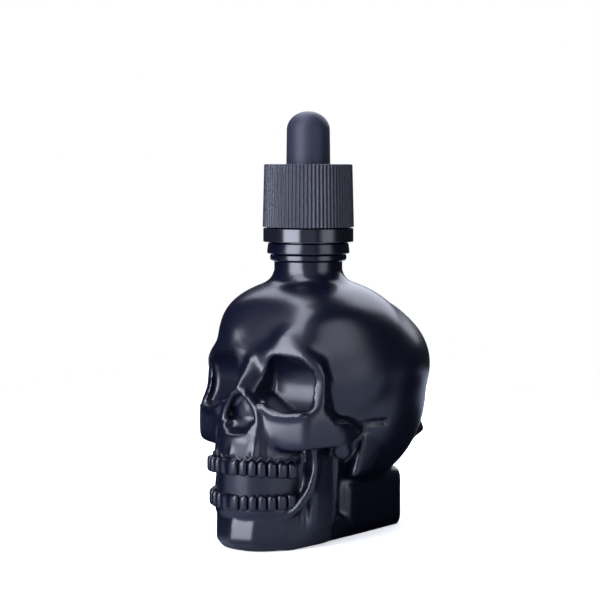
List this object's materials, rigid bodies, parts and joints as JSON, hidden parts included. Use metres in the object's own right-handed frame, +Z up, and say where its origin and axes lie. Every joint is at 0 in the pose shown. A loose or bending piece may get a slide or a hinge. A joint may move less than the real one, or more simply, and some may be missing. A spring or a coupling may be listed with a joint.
{
  "type": "skull-shaped dropper bottle",
  "caption": "Skull-shaped coated black glass bottle with a screw-on dropper: ribbed cap, break-off ring, rubber bulb and glass pipette.",
  "frame": {"origin": "on the base plane, on the axis of the neck", "axes": "+Z up along the neck's axis, -Y the way the face looks, +X to the skull's own left"},
  "size_m": [0.051, 0.0715, 0.1116],
  "materials": {
    "coated_glass": "satin black coating over moulded glass",
    "ring_plastic": "semi-gloss black",
    "cap_plastic": "fine matte, ribbed",
    "bulb_rubber": "matte",
    "clear_glass": "clear, polished"
  },
  "bodies": {
    "bottle": {"skull_bottle": "coated_glass"},
    "band": {"tamper_band": "ring_plastic"},
    "dropper": {"rubber_bulb": "bulb_rubber", "glass_pipette": "clear_glass"},
    "cap": {"screw_cap": "cap_plastic"}
  },
  "joints": [
    {"name": "band_turn", "type": "hinge", "parent": "bottle", "child": "band", "pos_m": [0, 0, 0.0775], "axis": [0, 0, 1], "continuous": true},
    {"name": "dropper_lift", "type": "slide", "parent": "bottle", "child": "dropper", "axis": [0, 0, 1], "range_m": [0, 0.085]},
    {"name": "cap_turn", "type": "hinge", "parent": "dropper", "child": "cap", "pos_m": [0, 0, 0.0814], "axis": [0, 0, 1], "range_deg": [0, 540]}
  ]
}
